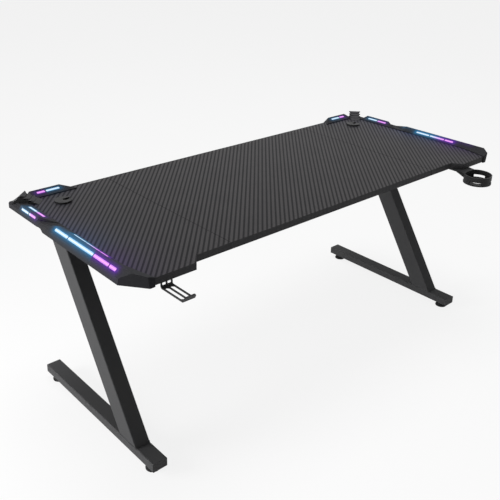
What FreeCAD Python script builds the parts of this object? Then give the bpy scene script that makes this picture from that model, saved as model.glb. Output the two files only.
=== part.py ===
import FreeCAD, Part
import math
import os
from FreeCAD import Placement, Rotation, Vector

os.makedirs("parts", exist_ok=True)

# All sizes are in millimetres. Depths are counted forward from the rear edge of the worktop board,
# insets inward from the end of the board, setbacks back from the front edge of its tabs.

# Worktop: three panels with a shallow recess in the front edge between two tabs
worktop_height = 750.0
board_thickness = 24.0
board_half_length = 905.0
board_depth = 733.0
tab_reach = 39.0
recess_back_inset = 239.5
recess_mouth_inset = 209.5
side_panel_length = 375.0
seam_bevel = 0.8

# Loose tongues in the panel seams, and flat plates that tie the panels together
tongue_width = 30.0
tongue_thickness = 6.0
tongue_play = 0.2
tongue_end_margin = 40.0
splice_length = 110.0
splice_width = 70.0
splice_thickness = 2.5
splice_corner = 8.0
splice_depth = 390.0

# Z-shaped legs of rectangular steel tube
leg_inset = 61.0
tube_width = 56.5
tube_wall = 2.0
tube_corner = 4.0
foot_bar_height = 32.8
foot_bar_clearance = 20.0
foot_bar_rear_depth = 14.0
foot_bar_front_setback = 44.0
top_bar_height = 33.0
top_bar_rear_depth = 45.0
top_bar_front_setback = 82.0
diagonal_section = 82.3
diagonal_top_depth = 147.5
diagonal_foot_setback = 190.0
cap_plate = 2.5
cap_plug = 14.0
cap_clearance = 0.3
cap_corner_share = 0.58

# Cross beams between the legs, with welded end plates
beam_section_depth = 50.0
beam_section_height = 25.0
beam_wall = 1.6
beam_corner = 3.0
beam_rear_depth = 200.0
beam_front_setback = 182.0
end_plate_length = 100.0
end_plate_height = 30.0
end_plate_thickness = 3.0
end_plate_corner = 8.0

# Levelling feet: pad with finger flats, hexagon collar, round stud
foot_radius = 25.0
foot_flat_count = 20
foot_rim = 4.0
foot_disc_height = 13.0
foot_shoulder_radius = 19.0
foot_collar_radius = 10.0
foot_stud_radius = 4.0
foot_stud_length = 26.0
foot_stud_play = 0.35
foot_inset = 42.0

# Edge trims: moulded shells with a roof-like ridge that wrap the edge of the board
trim_wall = 3.0
trim_lip = 3.5

# Rear trims: one arm along the end of the board, one along its rear edge, a low roof at the corner
rear_overhang = 13.0
rear_trim_width = 46.0
rear_trim_drop = 22.5
rear_shoulder_drop = 5.5
rear_crest_inset = 6.0
rear_crest_rise = 14.5
back_crest_rise = 16.5
arm_outer_depth = 205.0
arm_inner_depth = 279.0
back_arm_crest_length = 196.0
back_arm_foot_length = 222.0
back_arm_tip_length = 245.0
rear_corner_cut = 10.0
corner_reach = 85.0
back_corner_reach = 66.0
corner_slope_inset = 17.0
corner_overlap = 25.0
step_run = 13.0
step_rise = 21.0

# Front trims: leaning nose, short wing on the front edge, low tail that ends along the rear trim
front_overhang = 17.0
front_trim_width = 50.0
front_trim_drop = 27.0
front_shoulder_drop = 3.0
front_crest_inset = 23.0
front_crest_rise = 19.5
nose_setback = 72.0
nose_width = 56.0
nose_lean = 6.8
wing_setback = 117.0
wing_width = 76.0
wing_proud = 6.0
tail_gap = 3.0
tail_length = 46.0
tail_run = 14.0
tail_rise = 10.5
ramp_foot_lead = 36.0
ramp_foot_rise = 1.5
ramp_inner_lead = 132.0
ramp_crest_lead = 127.0

# Corner block: slats with blunt noses on a wedge, falling inward along the diagonal of each rear corner
slat_count = 4
slat_back = 55.5
slat_tip = 120.0
slat_rise = 30.0
slat_thickness = 5.0
slat_groove = 3.2
slat_half_width = 27.0
slat_nose_half_width = 13.0
back_slat_length = 20.0
wedge_foot = 20.0
wedge_half_width = 22.0
block_margin = 6.0

# Light bars: rows of slots in the trims, filled by a diffuser with a backing strip
bar_gap = 4.5
bar_corner = 2.2
bar_clearance = 0.25
bar_centre_share = 0.5
back_bar_centre_share = 0.57
recess_depth = 1.0
recess_margin = 1.8
diffuser_backing = 1.5
diffuser_margin = 2.2
diffuser_proud = 0.4
front_outer_bar_width = 11.5
front_outer_recess_lead = 22.0
front_outer_recess_setback = 61.0
front_outer_row_start = 11.0
front_outer_row_end = 35.0
front_outer_row_shares = (0.23, 0.43, 0.24, 0.10)
front_inner_bar_width = 9.0
front_inner_recess_lag = 51.0
front_inner_recess_setback = 150.0
front_inner_row_start = 15.0
front_inner_row_end = 28.0
front_inner_row_shares = (0.37, 0.40, 0.23)
arm_outer_bar_width = 9.0
arm_outer_row_start = 96.0
arm_outer_row_setback = 11.0
arm_inner_bar_width = 11.0
arm_inner_row_start = 106.0
arm_inner_row_setback = 67.0
arm_row_shares = (0.52, 0.48)
back_row_start = 101.0
back_row_end = 188.0
back_row_shares = (0.37, 0.63)

# Light strips inside the trims
strip_width = 10.0
strip_thickness = 1.2
strip_inset = 18.0
strip_end_margin = 12.0
chip_size = 5.0
chip_height = 1.6
chip_pitch = 50.0

# Cable grommets: flanged sleeve, turning cap with finger flats
grommet_inset = 135.0
grommet_depth = 112.0
grommet_bore_radius = 25.5
grommet_play = 0.3
grommet_flange_radius = 29.0
grommet_flange_height = 3.0
grommet_flat_count = 20
grommet_wall = 2.2
grommet_sleeve_length = 21.0
grommet_cap_radius = 30.0
grommet_cap_height = 4.0
grommet_cap_skirt = 9.0
grommet_cap_wall = 2.0
grommet_slot_width = 17.0
grommet_slot_reach = 8.0
grommet_cap_play = 0.4

# Headphone hook: one bent, slotted strip under the left tab
hook_inset = 105.0
hook_width = 41.0
hook_thickness = 4.0
hook_bar = 4.6
hook_setback = 4.0
hook_flange = 33.0
hook_drop = 17.0
hook_reach = 101.0
hook_lip_reach = 9.0
hook_lip_rise = 17.0
hook_lip_corner = 10.0
hook_bend = 4.0
hook_slot_margin = 9.0
hook_slot_corner = 5.0
hook_window_low = 3.5
hook_window_high = 4.0

# Cup holder: open ring with a windowed wall on a sloping arm under the right tab
cup_inset = 199.0
cup_reach = 67.0
cup_rim_drop = 3.0
cup_height = 37.0
cup_radius = 56.0
cup_wall = 4.0
cup_floor = 4.0
cup_floor_hole_radius = 24.0
cup_window_count = 4
cup_window_sweep = 50.0
cup_window_height = 11.0
cup_window_rise = 6.0
cup_window_turn = -3.0
cup_arm_width = 76.0
cup_arm_thickness = 6.0
cup_arm_setback = 72.0
cup_arm_bend_setback = 6.0
cup_arm_join_height = 18.0
cup_arm_corner = 10.0

# Power inlet of the lights, under the rear edge of the left panel
inlet_inset = 262.0
inlet_depth = 10.0
inlet_length = 16.0
inlet_width = 26.0
inlet_height = 18.0
inlet_corner = 2.0
inlet_bore_radius = 2.8
inlet_bore_length = 10.0
inlet_ear = 9.0
inlet_ear_thickness = 2.5

# Overrun of cutting bodies, reach of half-space cuts, what counts as touching, sides of a hexagon
overrun = 4.0
cut_reach = 4000.0
touch = 0.01
hexagon_side_count = 6

# Positions that follow from the sizes above
board_underside = worktop_height - board_thickness
tab_depth = board_depth + tab_reach
seam_half = board_half_length - side_panel_length
lip_height = worktop_height + trim_lip
front_bottom = worktop_height - front_trim_drop
front_outer_half = board_half_length + front_overhang
front_inner_half = front_outer_half - front_trim_width
front_shoulder_height = worktop_height - front_shoulder_drop
front_crest_height = worktop_height + front_crest_rise
rear_bottom = worktop_height - rear_trim_drop
rear_outer_half = board_half_length + rear_overhang
rear_inner_half = rear_outer_half - rear_trim_width
rear_inner_depth = rear_trim_width - rear_overhang
rear_shoulder_height = worktop_height - rear_shoulder_drop
rear_crest_height = worktop_height + rear_crest_rise
back_crest_height = worktop_height + back_crest_rise
nose_depth = tab_depth - nose_setback
nose_length = math.hypot(nose_setback, nose_width)
ramp_crest_depth = arm_outer_depth + ramp_crest_lead
leg_outer_half = board_half_length - leg_inset
leg_centre_half = leg_outer_half - tube_width / 2
leg_inner_half = leg_outer_half - tube_width
foot_bar_top = foot_bar_clearance + foot_bar_height
foot_bar_front_depth = tab_depth - foot_bar_front_setback
foot_depths = {"rear": foot_bar_rear_depth + foot_inset, "front": foot_bar_front_depth - foot_inset}
top_bar_bottom = board_underside - top_bar_height
top_bar_front_depth = tab_depth - top_bar_front_setback
beam_depths = {"rear": beam_rear_depth, "front": tab_depth - beam_front_setback}
beam_centre_height = board_underside - beam_section_height / 2
grommet_half = board_half_length - grommet_inset
cup_depth = tab_depth + cup_reach
cup_half = board_half_length - cup_inset
cup_rim_top = board_underside - cup_rim_drop
front_reach = cup_depth + cup_radius
rear_edge = (front_reach - rear_overhang) / 2

up = Vector(0, 0, 1)
origin = Vector(0, 0, 0)


def at(x, depth, z):
    return Vector(x, rear_edge - depth, z)


def unit(x, y, z):
    vector = Vector(x, y, z)
    return vector / vector.Length


def placed(shape, position):
    copy = shape.copy()
    copy.translate(position)
    return copy


def mirrored(shape):
    return shape.mirror(origin, Vector(1, 0, 0))


def outline_solid(points, direction):
    wire = Part.makePolygon(points + [points[0]])
    return Part.Face(wire).extrude(direction)


def revolved(profile):
    points = [Vector(radius, 0, height) for radius, height in profile]
    face = Part.Face(Part.makePolygon(points + [points[0]]))
    return face.revolve(origin, up, 360)


def polygon(radius, sides, height):
    points = []
    for number in range(sides):
        angle = 2 * math.pi * number / sides
        points.append(Vector(radius * math.cos(angle), radius * math.sin(angle), height))
    return points + [points[0]]


def flat_sided(low_radius, high_radius, sides, low, high):
    lower = polygon(low_radius, sides, low)
    upper = polygon(high_radius, sides, high)
    faces = [Part.Face(Part.makePolygon(lower)), Part.Face(Part.makePolygon(upper))]
    for number in range(sides):
        corners = [lower[number], lower[number + 1], upper[number + 1], upper[number]]
        faces.append(Part.Face(Part.makePolygon(corners + [corners[0]])))
    return Part.makeSolid(Part.makeShell(faces))


def cut_beyond(solid, point, normal):
    face = Part.Plane(point, normal).toShape(-cut_reach, cut_reach, -cut_reach, cut_reach)
    return solid.cut(face.extrude(normal * cut_reach))


def plane_normal(first, second, third):
    normal = (second - first).cross(third - first)
    normal = normal / normal.Length
    return normal if normal.z > 0 else -normal


def cut_corner_bar(width, start, end, corner, height):
    half = width / 2
    points = [
        Vector(-half, -start - corner, 0),
        Vector(-half + corner, -start, 0),
        Vector(half - corner, -start, 0),
        Vector(half, -start - corner, 0),
        Vector(half, -end + corner, 0),
        Vector(half - corner, -end, 0),
        Vector(-half + corner, -end, 0),
        Vector(-half, -end + corner, 0),
    ]
    return outline_solid(points, up * height)


def rounded_bar(width, height, corner, length):
    block = Part.makeBox(width, height, length, Vector(-width / 2, -height / 2, 0))
    long_edges = [edge for edge in block.Edges if abs(edge.tangentAt(edge.FirstParameter).z) > 0.5]
    return block.makeFillet(corner, long_edges)


def tube(width, height, wall, corner, length):
    inner_width = width - 2 * wall
    inner_height = height - 2 * wall
    hollow = Part.makeBox(inner_width, inner_height, length, Vector(-inner_width / 2, -inner_height / 2, 0))
    return rounded_bar(width, height, corner, length).cut(hollow)


def along_depth(shape, x, depth, z):
    turned = shape.copy()
    turned.rotate(origin, Vector(1, 0, 0), 90)
    return placed(turned, at(x, depth, z))


# Worktop panels, their tongues and tie plates

def left_panel_blank():
    nose_angle = math.atan2(nose_width, nose_setback)
    nose_side_depth = nose_depth - front_overhang * math.tan(nose_angle / 2)
    nose_front_half = board_half_length - (tab_depth - nose_side_depth) * math.tan(nose_angle)
    points = [
        at(-board_half_length, 0, board_underside),
        at(-seam_half, 0, board_underside),
        at(-seam_half, board_depth, board_underside),
        at(recess_back_inset - board_half_length, board_depth, board_underside),
        at(recess_mouth_inset - board_half_length, tab_depth, board_underside),
        at(-nose_front_half, tab_depth, board_underside),
        at(-board_half_length, nose_side_depth, board_underside),
    ]
    return outline_solid(points, up * board_thickness)


def centre_panel_blank():
    corner = at(-seam_half, board_depth, board_underside)
    return Part.makeBox(2 * seam_half, board_depth, board_thickness, corner)


def tongue(x, play):
    length = board_depth - 2 * tongue_end_margin + 2 * play
    corner = at(x - tongue_width / 2 - play, board_depth - tongue_end_margin + play,
                board_underside + board_thickness / 2 - tongue_thickness / 2 - play)
    return Part.makeBox(tongue_width + 2 * play, length, tongue_thickness + 2 * play, corner)


def finished_panel(blank):
    seam_edges = []
    for edge in blank.Edges:
        centre = edge.CenterOfMass
        on_seam = abs(abs(centre.x) - seam_half) < touch
        if on_seam and abs(centre.z - worktop_height) < touch:
            seam_edges.append(edge)
    panel = blank.makeChamfer(seam_bevel, seam_edges)
    for side in (-1, 1):
        panel = panel.cut(tongue(side * seam_half, tongue_play))
        base = at(side * grommet_half, grommet_depth, board_underside - overrun)
        panel = panel.cut(Part.makeCylinder(grommet_bore_radius, board_thickness + 2 * overrun, base))
    return panel


def seam_tongues():
    return Part.makeCompound([tongue(-seam_half, 0), tongue(seam_half, 0)])


def splice_plates():
    plates = []
    half = splice_width / 2
    blank = cut_corner_bar(splice_length, -half, half, splice_corner, splice_thickness)
    for x in (-seam_half, seam_half):
        plates.append(placed(blank, at(x, splice_depth, board_underside - splice_thickness)))
    return Part.makeCompound(plates)


# Legs

def left_top_bar():
    length = top_bar_front_depth - top_bar_rear_depth - 2 * cap_plate
    bar = tube(tube_width, top_bar_height, tube_wall, tube_corner, length)
    centre_height = top_bar_bottom + top_bar_height / 2
    return along_depth(bar, -leg_centre_half, top_bar_rear_depth + cap_plate, centre_height)


def left_diagonal():
    foot_depth = tab_depth - diagonal_foot_setback
    run = foot_depth - diagonal_top_depth
    rise = board_underside - foot_bar_top
    length = math.hypot(run, rise) + 2 * diagonal_section
    post = tube(tube_width, diagonal_section, tube_wall, tube_corner, length)
    post.translate(up * (-length / 2))
    post.rotate(origin, Vector(1, 0, 0), -math.degrees(math.atan2(run, rise)))
    middle_height = (board_underside + foot_bar_top) / 2
    post.translate(at(-leg_centre_half, (foot_depth + diagonal_top_depth) / 2, middle_height))
    post = cut_beyond(post, at(0, 0, foot_bar_top), -up)
    return cut_beyond(post, at(0, 0, top_bar_bottom), up)


def left_foot_bar():
    length = foot_bar_front_depth - foot_bar_rear_depth - 2 * cap_plate
    bar = tube(tube_width, foot_bar_height, tube_wall, tube_corner, length)
    centre_height = foot_bar_clearance + foot_bar_height / 2
    bar = along_depth(bar, -leg_centre_half, foot_bar_rear_depth + cap_plate, centre_height)
    for depth in foot_depths.values():
        start = at(-leg_centre_half, depth, foot_bar_clearance - overrun)
        hole = Part.makeCylinder(foot_stud_radius + foot_stud_play, tube_wall + 2 * overrun, start)
        bar = bar.cut(hole)
    return bar


def tube_cap(height):
    corner_cut = tube_corner * cap_corner_share
    plate = cut_corner_bar(tube_width, -height / 2, height / 2, corner_cut, cap_plate)
    plug_width = tube_width - 2 * (tube_wall + cap_clearance)
    plug_height = height - 2 * (tube_wall + cap_clearance)
    corner = Vector(-plug_width / 2, -plug_height / 2, cap_plate)
    return plate.fuse(Part.makeBox(plug_width, plug_height, cap_plug, corner))


def end_caps(height, centre_height, rear_depth, front_depth):
    rear_cap = tube_cap(height)
    front_cap = rear_cap.copy()
    front_cap.rotate(origin, Vector(1, 0, 0), 180)
    caps = []
    for x in (-leg_centre_half, leg_centre_half):
        caps.append(along_depth(rear_cap, x, rear_depth, centre_height))
        caps.append(along_depth(front_cap, x, front_depth, centre_height))
    return Part.makeCompound(caps)


# Cross beams

def end_plate(x, depth):
    half = end_plate_length / 2
    plate = cut_corner_bar(end_plate_height, -half, half, end_plate_corner, end_plate_thickness)
    plate.rotate(origin, Vector(0, 1, 0), 90)
    return placed(plate, at(x, depth, board_underside - end_plate_height / 2))


def cross_beam(depth):
    length = 2 * (leg_inner_half - end_plate_thickness)
    beam = tube(beam_section_height, beam_section_depth, beam_wall, beam_corner, length)
    beam.rotate(origin, Vector(0, 1, 0), 90)
    beam.translate(at(-length / 2, depth, beam_centre_height))
    beam = beam.fuse(end_plate(-leg_inner_half, depth))
    return beam.fuse(end_plate(leg_inner_half - end_plate_thickness, depth))


# Levelling feet

def levelling_foot(x, depth):
    pad = flat_sided(foot_radius, foot_radius, foot_flat_count, 0, foot_rim)
    shoulder = flat_sided(foot_radius, foot_shoulder_radius, foot_flat_count, foot_rim, foot_disc_height)
    collar = flat_sided(foot_collar_radius, foot_collar_radius, hexagon_side_count,
                        foot_disc_height, foot_bar_clearance)
    stud = Part.makeCylinder(foot_stud_radius, foot_stud_length, up * foot_bar_clearance)
    return placed(pad.fuse([shoulder, collar, stud]), at(x, depth, 0))


# Edge trims. Each body is a block trimmed back by planes, given as a point and an outward normal.
# The same planes moved inward by the wall thickness give its hollow.

def trim_block(width, depth):
    low = at(-front_outer_half - overrun, depth + overrun, front_bottom - overrun)
    height = front_crest_height - front_bottom + 2 * overrun
    return Part.makeBox(width + 2 * overrun, depth + rear_overhang + 2 * overrun, height, low)


def trimmed(block, planes, inset):
    for point, normal in planes:
        block = cut_beyond(block, point - normal * inset, normal)
    return block


def end_planes(outer_half, inner_half, bottom, shoulder_height, crest_inset, crest_height):
    shoulder = at(-outer_half, 0, shoulder_height)
    crest = at(-outer_half + crest_inset, 0, crest_height)
    lip = at(-inner_half, 0, lip_height)
    outward = unit(shoulder.z - crest.z, 0, crest.x - shoulder.x)
    inward = unit(crest.z - lip.z, 0, lip.x - crest.x)
    walls = [(shoulder, Vector(-1, 0, 0)), (lip, Vector(1, 0, 0)), (at(0, 0, bottom), -up)]
    return walls + [(crest, outward), (crest, inward)]


def back_planes():
    shoulder = at(0, -rear_overhang, rear_shoulder_height)
    crest = at(0, rear_crest_inset - rear_overhang, back_crest_height)
    lip = at(0, rear_inner_depth, lip_height)
    outward = unit(0, crest.z - shoulder.z, shoulder.y - crest.y)
    inward = unit(0, lip.z - crest.z, crest.y - lip.y)
    walls = [(shoulder, Vector(0, 1, 0)), (lip, Vector(0, -1, 0)), (at(0, 0, rear_bottom), -up)]
    return walls + [(crest, outward), (crest, inward)]


front_planes = end_planes(front_outer_half, front_inner_half, front_bottom, front_shoulder_height,
                          front_crest_inset, front_crest_height)
arm_planes = end_planes(rear_outer_half, rear_inner_half, rear_bottom, rear_shoulder_height,
                        rear_crest_inset, rear_crest_height)


def tail_planes():
    foot = at(-front_outer_half, arm_outer_depth + ramp_foot_lead, worktop_height + ramp_foot_rise)
    lip = at(-front_inner_half, arm_outer_depth + ramp_inner_lead, lip_height)
    crest = at(-front_outer_half + front_crest_inset, ramp_crest_depth, front_crest_height)
    ramp = (foot, plane_normal(foot, lip, crest))
    underside = (at(0, arm_outer_depth + tail_length, front_bottom), unit(0, tail_rise, -tail_run))
    return [ramp, underside]


def tail_body(nose, inset):
    outer_wall, inner_wall, base, outward, inward = front_planes
    underside = (at(0, 0, front_bottom + tail_rise), -up)
    roof = (at(0, 0, lip_height), up)
    arm_run = arm_inner_depth - arm_outer_depth
    toward_arm = unit(arm_run, rear_trim_width, 0)
    end = (at(-rear_outer_half, arm_outer_depth, 0) - toward_arm * tail_gap, toward_arm)
    planes = [outer_wall, inner_wall, underside, outward, roof, nose, end]
    return trimmed(trim_block(front_trim_width, tab_depth), planes, inset)


def front_trim_body(inset):
    lean = nose_lean * nose_length / (front_crest_height - front_bottom)
    nose = (at(-front_outer_half, nose_depth, front_bottom), unit(-nose_setback, -nose_width, -lean))
    main = trimmed(trim_block(front_trim_width, tab_depth), front_planes + [nose] + tail_planes(), inset)
    wing_foot = at(-front_inner_half, tab_depth - wing_setback, lip_height)
    wing_tip = at(-front_outer_half + wing_width, tab_depth, lip_height)
    vertex_lead = (nose_setback * front_crest_inset + nose_lean * nose_length) / nose_width
    vertex = at(-front_outer_half + front_crest_inset, nose_depth + vertex_lead, front_crest_height)
    facet = (vertex, plane_normal(wing_foot, vertex, wing_tip))
    wing_edge = wing_tip - wing_foot
    edge = (wing_tip, unit(-wing_edge.y, wing_edge.x, 0))
    front = (at(0, tab_depth + wing_proud, 0), Vector(0, -1, 0))
    outer_wall, inner_wall, base, outward, inward = front_planes
    wing_planes = [outer_wall, base, outward, nose, facet, edge, front]
    wing = trimmed(trim_block(wing_width, tab_depth), wing_planes, inset)
    wing = cut_beyond(wing, wing_foot, Vector(0, 1, 0))
    return main.fuse([wing, tail_body(nose, inset)]).removeSplitter()


def rear_arm_body(corner, inset):
    arm_run = arm_inner_depth - arm_outer_depth
    end = (at(-rear_outer_half, arm_outer_depth, 0), unit(-arm_run, -rear_trim_width, 0))
    step = (at(0, corner_reach - rear_overhang, rear_shoulder_height), unit(0, step_rise, step_run))
    return trimmed(trim_block(rear_trim_width, arm_inner_depth), arm_planes + [corner, end, step], inset)


def back_arm_body(corner, inset):
    crest_depth = rear_crest_inset - rear_overhang
    crest_end = at(back_arm_crest_length - rear_outer_half, crest_depth, back_crest_height)
    foot = at(back_arm_foot_length - rear_outer_half, -rear_overhang, rear_shoulder_height)
    tip = at(back_arm_tip_length - rear_outer_half, rear_inner_depth, lip_height)
    ramp = (crest_end, plane_normal(crest_end, tip, foot))
    end = (tip, Vector(1, 0, 0))
    step = (at(back_corner_reach - rear_outer_half, 0, rear_shoulder_height), unit(-step_rise, 0, step_run))
    planes = back_planes() + [corner, ramp, end, step]
    return trimmed(trim_block(back_arm_tip_length, rear_inner_depth), planes, inset)


def rear_corner_body(corner, inset):
    reach = corner_reach + corner_overlap
    roof = (at(0, 0, lip_height), up)
    rise = lip_height - rear_shoulder_height
    end_slope = (at(-rear_outer_half, 0, rear_shoulder_height), unit(-rise, 0, corner_slope_inset))
    back_slope = (at(0, -rear_overhang, rear_shoulder_height), unit(0, rise, corner_slope_inset))
    outer_wall, inner_wall, base, outward, inward = arm_planes
    back_wall = back_planes()[0]
    planes = [outer_wall, back_wall, base, roof, end_slope, back_slope, corner]
    body = trimmed(trim_block(reach, reach - rear_overhang), planes, inset)
    low = at(-rear_inner_half - inset, cut_reach, rear_bottom - overrun)
    inside = Part.makeBox(cut_reach, cut_reach - rear_inner_depth + inset, 2 * board_thickness, low)
    return body.cut(inside)


def rear_trim_body(inset):
    corner = (at(-rear_outer_half + rear_corner_cut, -rear_overhang, 0), unit(-1, 1, 0))
    bodies = [back_arm_body(corner, inset), rear_corner_body(corner, inset)]
    return rear_arm_body(corner, inset).fuse(bodies).removeSplitter()


# Light rows. Each lies in a frame on its slope: Y runs back along the row, Z points out of the face.

def end_slope_frame(slope, foot_half, foot_height):
    crest, normal = slope
    foot = at(-foot_half, 0, foot_height)
    centre = foot + (crest - foot) * bar_centre_share
    turn = Rotation(Vector(0, 1, 0), math.degrees(math.atan2(normal.x, normal.z)))
    return Placement(Vector(centre.x, rear_edge, centre.z), turn)


def back_slope_frame(slope):
    crest, normal = slope
    foot = at(0, rear_inner_depth, lip_height)
    centre = foot + (crest - foot) * back_bar_centre_share
    tilt = Rotation(Vector(1, 0, 0), -math.degrees(math.atan2(normal.y, normal.z)))
    quarter_turn = Rotation(up, 90)
    return Placement(Vector(-rear_outer_half, centre.y, centre.z), tilt.multiply(quarter_turn))


def laid(shape, frame):
    copy = shape.copy()
    copy.Placement = frame.multiply(copy.Placement)
    return copy


def row_spans(start, end, shares):
    lit_length = end - start - bar_gap * (len(shares) - 1)
    spans = []
    for share in shares:
        spans.append((start, start + lit_length * share))
        start = start + lit_length * share + bar_gap
    return spans


def row_slots(width, spans, frame):
    slots = []
    for start, end in spans:
        slot = cut_corner_bar(width, start, end, bar_corner, 2 * trim_wall + overrun)
        slots.append(laid(placed(slot, -up * (trim_wall + overrun / 2)), frame))
    return slots


def row_diffuser(width, spans, face_drop, frame):
    start = spans[0][0] - diffuser_margin
    end = spans[-1][1] + diffuser_margin
    backing_width = width + 2 * diffuser_margin
    low = Vector(-backing_width / 2, -end, -trim_wall - diffuser_backing)
    body = Part.makeBox(backing_width, end - start, diffuser_backing, low)
    height = trim_wall - face_drop + diffuser_proud
    for first, last in spans:
        bar = cut_corner_bar(width - 2 * bar_clearance, first + bar_clearance, last - bar_clearance,
                             bar_corner, height)
        body = body.fuse(placed(bar, -up * trim_wall))
    return laid(body, frame)


def recess(width, start, end, frame):
    opening = cut_corner_bar(width + 2 * recess_margin, start, end, width / 2, recess_depth + overrun)
    return laid(placed(opening, -up * recess_depth), frame)


front_outer_frame = end_slope_frame(front_planes[3], front_outer_half, front_shoulder_height)
front_inner_frame = end_slope_frame(front_planes[4], front_inner_half, lip_height)
arm_outer_frame = end_slope_frame(arm_planes[3], rear_outer_half, rear_shoulder_height)
arm_inner_frame = end_slope_frame(arm_planes[4], rear_inner_half, lip_height)
back_frame = back_slope_frame(back_planes()[4])

front_outer_recess = (ramp_crest_depth - front_outer_recess_lead, tab_depth - front_outer_recess_setback)
front_inner_recess = (ramp_crest_depth + front_inner_recess_lag, tab_depth - front_inner_recess_setback)
front_outer_spans = row_spans(front_outer_recess[0] + front_outer_row_start,
                              front_outer_recess[1] - front_outer_row_end, front_outer_row_shares)
front_inner_spans = row_spans(front_inner_recess[0] + front_inner_row_start,
                              front_inner_recess[1] - front_inner_row_end, front_inner_row_shares)
arm_outer_spans = row_spans(arm_outer_row_start, arm_outer_depth - arm_outer_row_setback, arm_row_shares)
arm_inner_spans = row_spans(arm_inner_row_start, arm_inner_depth - arm_inner_row_setback, arm_row_shares)
back_spans = row_spans(back_row_start, back_row_end, back_row_shares)


def front_trim(worktop):
    shell = front_trim_body(0).cut(front_trim_body(trim_wall)).cut(worktop)
    shell = shell.cut(recess(front_outer_bar_width, *front_outer_recess, front_outer_frame))
    shell = shell.cut(recess(front_inner_bar_width, *front_inner_recess, front_inner_frame))
    slots = row_slots(front_outer_bar_width, front_outer_spans, front_outer_frame)
    slots += row_slots(front_inner_bar_width, front_inner_spans, front_inner_frame)
    return shell.cut(slots)


def front_diffusers():
    outer = row_diffuser(front_outer_bar_width, front_outer_spans, recess_depth, front_outer_frame)
    inner = row_diffuser(front_inner_bar_width, front_inner_spans, recess_depth, front_inner_frame)
    return Part.makeCompound([outer, inner])


def rear_trim(worktop):
    shell = rear_trim_body(0).cut(rear_trim_body(trim_wall)).cut(worktop)
    slots = row_slots(arm_outer_bar_width, arm_outer_spans, arm_outer_frame)
    slots += row_slots(arm_inner_bar_width, arm_inner_spans, arm_inner_frame)
    slots += row_slots(arm_inner_bar_width, back_spans, back_frame)
    return shell.cut(slots)


def rear_diffusers():
    outer = row_diffuser(arm_outer_bar_width, arm_outer_spans, 0, arm_outer_frame)
    inner = row_diffuser(arm_inner_bar_width, arm_inner_spans, 0, arm_inner_frame)
    back = row_diffuser(arm_inner_bar_width, back_spans, 0, back_frame)
    return Part.makeCompound([outer, inner, back])


def light_strip(length):
    strip = Part.makeBox(strip_width, length, strip_thickness, Vector(-strip_width / 2, 0, 0))
    chips = int(length // chip_pitch)
    first = (length - (chips - 1) * chip_pitch) / 2
    for number in range(chips):
        corner = Vector(-chip_size / 2, first + number * chip_pitch - chip_size / 2, strip_thickness)
        strip = strip.fuse(Part.makeBox(chip_size, chip_size, chip_height, corner))
    return strip


def front_strip():
    start = front_outer_spans[0][0] + 2 * strip_end_margin
    end = front_outer_spans[-1][1]
    strip_x = -front_outer_half + strip_inset + strip_width / 2
    return placed(light_strip(end - start), at(strip_x, end, worktop_height))


def rear_strips():
    end = arm_inner_spans[-1][1] - strip_end_margin
    start = arm_inner_spans[0][0] - strip_end_margin
    strip_x = -rear_outer_half + strip_inset + strip_width / 2
    arm_strip = placed(light_strip(end - start), at(strip_x, end, worktop_height))
    back_strip = light_strip(back_row_end - back_row_start)
    back_strip.rotate(origin, up, -90)
    strip_depth = strip_inset - rear_overhang + strip_width / 2
    back_strip.translate(at(back_row_start - rear_outer_half, strip_depth, worktop_height))
    return Part.makeCompound([arm_strip, back_strip])


# Corner block, made along the X axis from the outer corner of the trim and then turned to the diagonal

def slat(length):
    points = [
        Vector(0, -slat_half_width, 0),
        Vector(length, -slat_nose_half_width, 0),
        Vector(length, slat_nose_half_width, 0),
        Vector(0, slat_half_width, 0),
    ]
    return outline_solid(points, -up * slat_thickness)


def corner_block():
    peak = Vector(slat_back, 0, worktop_height + slat_rise)
    run = slat_tip - slat_back
    pitch = math.hypot(run, slat_rise) / slat_count
    fall = math.degrees(math.atan2(slat_rise, run))
    slats = []
    for number in range(slat_count):
        piece = placed(slat(pitch - slat_groove), Vector(number * pitch, 0, 0))
        piece.rotate(origin, Vector(0, 1, 0), fall)
        slats.append(placed(piece, peak))
    back_slat = slat(back_slat_length)
    back_slat.rotate(origin, up, 180)
    back_slat.rotate(origin, Vector(0, 1, 0), -math.degrees(math.atan2(slat_rise, slat_back - wedge_foot)))
    slats.append(placed(back_slat, peak))
    profile = [
        Vector(wedge_foot, -wedge_half_width, worktop_height),
        peak - Vector(0, wedge_half_width, slat_thickness),
        Vector(slat_tip, -wedge_half_width, worktop_height),
    ]
    block = outline_solid(profile, Vector(0, 2 * wedge_half_width, 0)).fuse(slats)
    block.rotate(origin, up, -45)
    block.translate(at(-rear_outer_half, -rear_overhang, 0))
    block = cut_beyond(block, at(0, 0, worktop_height), -up)
    block = cut_beyond(block, at(block_margin - rear_outer_half, 0, 0), Vector(-1, 0, 0))
    block = cut_beyond(block, at(0, block_margin - rear_overhang, 0), Vector(0, 1, 0))
    return block.cut(rear_trim_body(0)).removeSplitter()


# Grommets

def grommet_sleeve(x):
    outside = grommet_bore_radius - grommet_play
    bore = outside - grommet_wall
    length = grommet_sleeve_length + grommet_flange_height
    foot = -up * grommet_sleeve_length
    sleeve = flat_sided(grommet_flange_radius, grommet_flange_radius, grommet_flat_count,
                        0, grommet_flange_height)
    sleeve = sleeve.fuse(Part.makeCylinder(outside, grommet_sleeve_length, foot))
    sleeve = sleeve.cut(Part.makeCylinder(bore, length, foot))
    return placed(sleeve, at(x, grommet_depth, worktop_height))


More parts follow.
